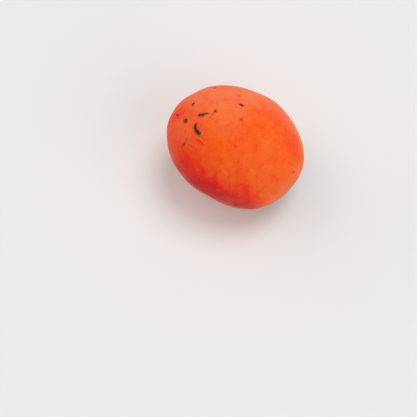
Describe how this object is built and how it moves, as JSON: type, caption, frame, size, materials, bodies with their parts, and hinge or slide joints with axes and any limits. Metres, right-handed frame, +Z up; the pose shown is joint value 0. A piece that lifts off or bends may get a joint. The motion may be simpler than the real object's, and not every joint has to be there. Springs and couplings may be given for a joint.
{
  "type": "persimmon",
  "caption": "Whole ripe persimmon lying on its side, an egg-shaped fruit with a dry four-lobed calyx and a cut stub of stem.",
  "frame": {"origin": "middle of the small flat that the fruit lies on, on its underside", "axes": "+Z up from the surface that it lies on; the blossom end points to -X and up, and the calyx and stem to +X and down"},
  "size_m": [0.072, 0.0621, 0.0637],
  "materials": {
    "skin": "satin",
    "calyx": "matte",
    "stem": "matte"
  },
  "bodies": {
    "root": {"fruit": "skin", "calyx": "calyx", "stem_stub": "stem"}
  },
  "joints": []
}
